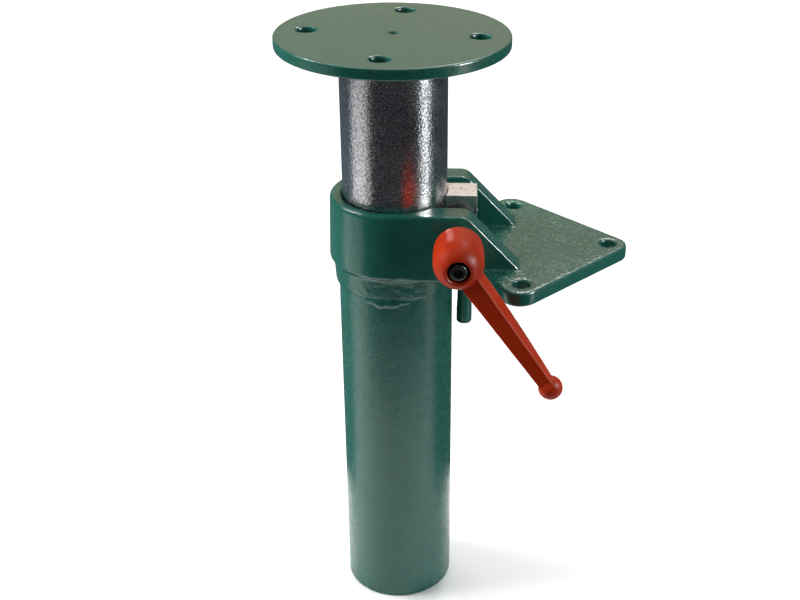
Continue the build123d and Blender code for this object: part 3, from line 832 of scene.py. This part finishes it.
def noise(material, size, detail=3.0, stretch=(1, 1, 1)):
    """A noise pattern whose lumps are about that size, in metres. Returns its value socket."""
    nodes, links = material.node_tree.nodes, material.node_tree.links
    place = nodes.new("ShaderNodeTexCoord")
    mapping = nodes.new("ShaderNodeMapping")
    mapping.inputs["Scale"].default_value = stretch
    pattern = nodes.new("ShaderNodeTexNoise")
    pattern.inputs["Scale"].default_value = 1 / size
    pattern.inputs["Detail"].default_value = detail
    links.new(place.outputs["Object"], mapping.inputs["Vector"])
    links.new(mapping.outputs["Vector"], pattern.inputs["Vector"])
    return pattern.outputs["Fac"]


def ramp(material, value, low, high, first, last):
    """Maps a pattern between two positions on to two colours or grey levels."""
    node = material.node_tree.nodes.new("ShaderNodeValToRGB")
    for element, place, tone in zip(node.color_ramp.elements, (low, high), (first, last)):
        element.position = place
        element.color = (*tone, 1) if hasattr(tone, "__len__") else (tone, tone, tone, 1)
    material.node_tree.links.new(value, node.inputs["Fac"])
    return node.outputs["Color"]


def bump(material, value, height, normal=None):
    """Bumps as high as stated, in metres, on top of another bump if one is given."""
    node = material.node_tree.nodes.new("ShaderNodeBump")
    node.inputs["Distance"].default_value = height
    material.node_tree.links.new(value, node.inputs["Height"])
    if normal:
        material.node_tree.links.new(normal, node.inputs["Normal"])
    return node.outputs["Normal"]


def feed(material, **values):
    """Plugs patterns into the shader's sockets."""
    shader = material.node_tree.nodes["Principled BSDF"]
    for socket, value in values.items():
        material.node_tree.links.new(value, shader.inputs[socket.replace("_", " ")])


# %% [markdown]
# ## Enamel
#
# Thick glossy enamel brushed or sprayed over rolled and cast steel. Three things make it read as paint:
# a fine orange peel that breaks up every reflection, a slow change of tone where the coat is thin, and
# on castings the grain of the sand mould below it. Pale flecks on the plate's upward faces and on the
# disc are painted sparkle: highlights of light on the grain, painted into the colour.

# %% Green enamel, smooth and cast
ENAMEL = (0.008, 0.092, 0.068)
ENAMEL_THIN = (0.006, 0.085, 0.063)
# Colours of pale flecks that are painted sparkle: highlights painted into the enamel's colour.
PLATE_PAINTED_SPARKLE = (0.10, 0.18, 0.12)
DISC_PAINTED_SPARKLE = (0.03, 0.11, 0.07)
PAINTED_SPARKLE_SIZE = 1.4 * MM


def green_enamel(name, peel, peel_size, grain, grain_size, roughness, painted_sparkle=None):
    """Enamel with orange peel over the grain of what it covers. A sparkle colour adds painted highlight flecks."""
    paint = new_material(name, ENAMEL, roughness, IOR=1.52)
    gloss = ramp(paint, noise(paint, 7 * MM, 3.0), 0.3, 0.7, roughness - 0.05, roughness + 0.07)
    under = bump(paint, noise(paint, grain_size, 4.0), grain)
    if painted_sparkle:
        tone = ramp(paint, noise(paint, PAINTED_SPARKLE_SIZE, 2.0), 0.52, 0.74, ENAMEL_THIN, painted_sparkle)
    else:
        tone = ramp(paint, noise(paint, 18 * MM, 4.0), 0.35, 0.65, ENAMEL_THIN, ENAMEL)
    skin = bump(paint, noise(paint, peel_size, 2.0), peel, under)
    feed(paint, Base_Color=tone, Roughness=gloss, Normal=skin)
    return paint


tube_enamel = green_enamel("tube_enamel", 0.20 * MM, 1.2 * MM, 0.05 * MM, 9 * MM, 0.25)
cast_enamel = green_enamel("cast_enamel", 0.14 * MM, 1.2 * MM, 0.14 * MM, 5 * MM, 0.19)
# The plate and disc enamels carry pale flecks of painted sparkle.
plate_enamel = green_enamel("plate_enamel", 0.22 * MM, 1.3 * MM, 0.10 * MM, 4 * MM, 0.17, PLATE_PAINTED_SPARKLE)
disc_enamel = green_enamel("disc_enamel", 0.12 * MM, 1.3 * MM, 0.10 * MM, 9 * MM, 0.20, DISC_PAINTED_SPARKLE)
weld_enamel = green_enamel("weld_enamel", 0.14 * MM, 1.2 * MM, 0.10 * MM, 2 * MM, 0.20)

# %% [markdown]
# ## Bare metals
#
# The column is ground between centres, then handled: the grinding leaves fine rings, and small marks
# break each reflection into specks. The clamp block is blasted on its sawn faces, so it is rougher and
# paler. Zinc is brighter and softer, and black oxide keeps an oily gloss.

# %% Ground column, blasted block, zinc and black oxide
def ground_steel():
    """Polished steel with fine rings about the Z axis and small specks."""
    steel = new_material("ground_steel", (0.50, 0.50, 0.51), 0.19, 1.0)
    rings = noise(steel, 2.2 * MM, 3.0, (0.12, 0.12, 9.0))
    specks = noise(steel, 1.3 * MM, 2.0, (1, 1, 1.3))
    gloss = ramp(steel, noise(steel, 14 * MM, 5.0), 0.35, 0.7, 0.15, 0.23)
    tone = ramp(steel, noise(steel, 1.3 * MM, 2.0), 0.38, 0.58, (0.30, 0.30, 0.31), (0.60, 0.60, 0.61))
    surface = bump(steel, specks, 0.21 * MM, bump(steel, rings, 0.02 * MM))
    feed(steel, Base_Color=tone, Roughness=gloss, Normal=surface)
    return steel


def rough_steel(name, color, low, high, roughness, grain, grain_size):
    """Metal with darker patches, uneven gloss and a fine grain."""
    steel = new_material(name, color, roughness, 1.0)
    dark = tuple(0.72 * c for c in color)
    tone = ramp(steel, noise(steel, 3 * MM, 5.0), low, high, dark, color)
    gloss = ramp(steel, noise(steel, 2 * MM, 3.0), 0.3, 0.7, roughness - 0.08, roughness + 0.08)
    feed(steel, Base_Color=tone, Roughness=gloss, Normal=bump(steel, noise(steel, grain_size, 3.0), grain))
    return steel


column_steel = ground_steel()
block_steel = rough_steel("block_steel", (0.62, 0.62, 0.62), 0.3, 0.6, 0.34, 0.035 * MM, 0.8 * MM)
zinc = rough_steel("zinc_plate", (0.66, 0.67, 0.66), 0.3, 0.7, 0.30, 0.01 * MM, 0.5 * MM)
shaft_steel = rough_steel("shaft_steel", (0.56, 0.56, 0.57), 0.3, 0.6, 0.24, 0.008 * MM, 0.7 * MM)
brass = rough_steel("cage_brass", (0.72, 0.50, 0.22), 0.3, 0.7, 0.32, 0.01 * MM, 0.6 * MM)


def black_oxide():
    black = new_material("black_oxide", (0.012, 0.012, 0.014), 0.22, 0.0, IOR=1.6)
    gloss = ramp(black, noise(black, 1.5 * MM, 3.0), 0.3, 0.7, 0.16, 0.32)
    feed(black, Roughness=gloss, Normal=bump(black, noise(black, 0.7 * MM, 2.0), 0.02 * MM))
    return black


oxide = black_oxide()

# %% [markdown]
# ## Plastics and rubber
#
# The lever is glass-filled nylon from a spark-eroded mould: a fine even grain, a soft sheen and a slow
# drift in its colour. Bush, rings and seal are plain engineering plastics and rubber.

# %% Orange lever, dark plastics and rubber
def lever_plastic():
    plastic = new_material("lever_plastic", (0.35, 0.022, 0.003), 0.38, IOR=1.5, Specular_IOR_Level=0.12)
    tone = ramp(plastic, noise(plastic, 10 * MM, 3.0), 0.3, 0.7, (0.32, 0.020, 0.002), (0.38, 0.024, 0.003))
    gloss = ramp(plastic, noise(plastic, 3 * MM, 3.0), 0.3, 0.7, 0.34, 0.44)
    grain = bump(plastic, noise(plastic, 0.5 * MM, 2.0), 0.012 * MM)
    feed(plastic, Base_Color=tone, Roughness=gloss, Normal=grain)
    return plastic


def dark_plastic(name, color, roughness):
    plastic = new_material(name, color, roughness)
    tone = ramp(plastic, noise(plastic, 4 * MM, 3.0), 0.3, 0.7, tuple(0.8 * c for c in color), color)
    feed(plastic, Base_Color=tone, Normal=bump(plastic, noise(plastic, 0.6 * MM, 2.0), 0.01 * MM))
    return plastic


orange = lever_plastic()
acetal = dark_plastic("bush_acetal", (0.05, 0.05, 0.055), 0.42)
rubber = dark_plastic("seal_rubber", (0.02, 0.02, 0.02), 0.6)

# %% [markdown]
# ## Paint every piece
#
# The record says which slot each CAD node belongs to, so one small table of slots gives every node its
# finish, seen or unseen. New pieces get theirs by name.

# %% Assign the finishes
FINISHES = {
    "green_paint": cast_enamel, "weld_steel": weld_enamel, "ground_steel": column_steel,
    "bare_steel": shaft_steel, "zinc_steel": zinc, "black_steel": oxide, "red_plastic": orange,
    "guide_plastic": acetal, "seal_rubber": rubber, "bearing_brass": brass,
}


def finish_with(piece, material):
    """Gives a piece one material all over."""
    piece.data.materials.clear()
    piece.data.materials.append(material)


for part in frame["record"]["subparts"]:
    node = NODES[part["node"]]
    for slot in node.material_slots:
        slot.material = FINISHES[part["material_slot"]]
for slot in NODES["guide_tube"].material_slots:
    slot.material = tube_enamel
# The boss faces take black oxide as painted shade, for the dark gap between each boss and the block.
NEW_PIECES = (
    (top_plate, disc_enamel), (casting, cast_enamel), (pin, weld_enamel), (front_facing, oxide),
    (rear_facing, oxide), (front_weld, weld_enamel), (side_weld, weld_enamel), (back_weld, weld_enamel),
    (disc_weld, weld_enamel), (clamp_block, block_steel), (lever, orange), (screw, oxide),
)
for piece, material in NEW_PIECES:
    finish_with(piece, material)

# %% Enamel with painted sparkle on the plate's upper face
UPPER_SKIN = 0.9 * MM
casting.data.materials.append(plate_enamel)
for face in casting.data.polygons:
    on_top = abs(face.center.z - PLATE_TOP) < UPPER_SKIN and face.center.x > COLUMN_R
    face.material_index = 1 if on_top and face.normal.z > 0.6 else 0
print("materials:", len(bpy.data.materials))

# %% [markdown]
# ## Camera
#
# A portrait lens from a little above the bracket. The horizon is almost level, and a small lens shift
# keeps the whole column in the frame without tilting the camera any further.

# %% Place the camera
CAMERA_PLACE = (0.03307, -0.64530, 0.54802)
CAMERA_HEADING = 0.0106
CAMERA_DOWN = 0.4851
CAMERA_ROLL = 0.0156
CAMERA_LENS = 55.084
CAMERA_SHIFT = (-0.0791, -0.0124)

camera_data = bpy.data.cameras.new("camera")
camera_data.sensor_width = 36.0
camera_data.lens = CAMERA_LENS
camera_data.shift_x, camera_data.shift_y = CAMERA_SHIFT
camera = bpy.data.objects.new("camera", camera_data)
bpy.context.scene.collection.objects.link(camera)
heading = Matrix.Rotation(-CAMERA_HEADING, 4, "Z")
tilt = Matrix.Rotation(math.pi / 2 - CAMERA_DOWN, 4, "X")
roll = Matrix.Rotation(CAMERA_ROLL, 4, "Z")
camera.matrix_world = Matrix.Translation(CAMERA_PLACE) @ heading @ tilt @ roll
bpy.context.scene.camera = camera
bpy.context.scene.view_settings.view_transform = "Standard"

# %% [markdown]
# ## Floor, light and flags
#
# A bright pale floor under one large soft light overhead, with weaker ones behind and at the sides.
# Round polished steel shows its whole surroundings as upright stripes, so what it mirrors matters more
# than what lights it. So some lights do only half a light's work: a fill lights the paint and is not
# mirrored, and a rim or a glint is mirrored and lights no paint. Glints draw the thin bright lines.
#
# Cards, which photographers call flags, lie on the floor around the column. They are hidden from the
# camera and cast no shadow: they only give the steel and the gloss paint something dark to mirror.

# %% Floor and surroundings
FLOOR_SIZE = 8
SKY = (0.80, 0.86, 1.0, 1)
SKY_STRENGTH = 0.12

bpy.ops.object.select_all(action="DESELECT")
bpy.ops.mesh.primitive_plane_add(size=FLOOR_SIZE, location=(0, 0, 0))
floor = settle(bpy.context.object, "floor")
finish_with(floor, new_material("floor_paint", (0.9, 0.9, 0.9), 0.8, Specular_IOR_Level=0.1))

world = bpy.data.worlds.new("world")
world.use_nodes = True
world.node_tree.nodes["Background"].inputs["Color"].default_value = SKY
world.node_tree.nodes["Background"].inputs["Strength"].default_value = SKY_STRENGTH
bpy.context.scene.world = world

# %% Softboxes
AIM = Vector((0.02, 0.0, 0.2))
WHITE = (1.0, 1.0, 1.0)
COOL = (0.93, 1.0, 1.0)
WARM = (1.0, 0.62, 0.36)
DAYLIGHT = (1.0, 0.98, 0.95)
LAMPLIGHT = (1.0, 0.97, 0.92)
IVORY = (1.0, 0.99, 0.96)


def softbox(name, place, width, height, power, color=WHITE, aim=AIM):
    """An area light that points at the object. The camera does not see it."""
    light = bpy.data.lights.new(name, "AREA")
    light.shape = "RECTANGLE"
    light.size = width
    light.size_y = height
    light.energy = power
    light.color = color
    lamp = bpy.data.objects.new(name, light)
    bpy.context.scene.collection.objects.link(lamp)
    lamp.location = place
    lamp.rotation_euler = (aim - Vector(place)).to_track_quat("-Z", "Y").to_euler()
    lamp.visible_camera = False
    return lamp


softbox("overhead", (0.0, 0.9, 3.2), 4.0, 3.0, 76)
softbox("high_back", (0.35, 1.25, 1.6), 0.5, 0.25, 9, DAYLIGHT)
softbox("back_warm", (0.1, 1.5, 0.95), 1.9, 0.9, 3.0, WARM)
left_fill = softbox("left_fill", (-0.75, 0.05, 0.62), 0.55, 0.60, 12, IVORY)
left_rim = softbox("left_rim", (-0.75, 0.05, 0.62), 0.55, 0.60, 4, IVORY)
softbox("right_strip", (0.62, -0.22, 0.20), 0.10, 0.40, 0.36, COOL)
right_fill = softbox("right_fill", (0.62, -0.22, 0.40), 0.30, 0.60, 2.4, COOL)
backdrop = softbox("backdrop", (0.0, 2.0, 1.4), 2.8, 1.0, 22, aim=Vector((0.0, 2.0, 0.0)))
glint_right = softbox("glint_right", (0.62, -0.22, 0.48), 0.06, 0.06, 5.5)
glint_high = softbox("glint_high", (0.60, -0.22, 0.60), 0.06, 0.06, 2.5)
glint_left = softbox("glint_left", (-0.85, 0.40, 1.30), 0.08, 0.08, 8)
glint_back = softbox("glint_back", (0.15, 0.95, 1.30), 0.12, 0.12, 1.2, LAMPLIGHT)
for fill in (left_fill, right_fill, backdrop):
    fill.visible_glossy = False
for glint in (left_rim, glint_right, glint_high, glint_left, glint_back):
    glint.visible_diffuse = False
print("lights:", len(bpy.data.lights))


# %% Flags
CARD_REACH = 3.0


def flag(name, start, end, inner, tone, shades):
    """A card on the floor: part of a ring about the column, between two angles in degrees."""
    bpy.ops.object.select_all(action="DESELECT")
    bpy.ops.mesh.primitive_circle_add(vertices=180, radius=inner, location=(0, 0, MM))
    card = settle(bpy.context.object, name)
    open_mesh(card)
    middle = math.radians(start + end) / 2
    half = math.radians(end - start) / 2
    pick(card, "verts", lambda v: abs(math.remainder(math.atan2(v.co.y, v.co.x) - middle, math.tau)) > half)
    bpy.ops.mesh.delete(type="VERT")
    bpy.ops.mesh.select_all(action="SELECT")
    bpy.ops.mesh.extrude_region_move()
    scale = CARD_REACH / inner
    bpy.ops.transform.resize(value=(scale, scale, 1), center_override=(0, 0, MM))
    close_mesh()
    finish_with(card, new_material(name, tone, 0.9, Specular_IOR_Level=0.0))
    card.visible_camera = False
    card.visible_shadow = False
    card.visible_diffuse = shades


flag("front_flag", -147, -24, 0.31, (0.04, 0.04, 0.045), True)
flag("right_back_flag", -13, 100, 0.12, (0.04, 0.055, 0.06), False)
flag("left_back_flag", 100, 177, 0.12, (0.07, 0.09, 0.11), False)
flag("left_card", 179, 213, 0.36, (0.56, 0.56, 0.57), False)
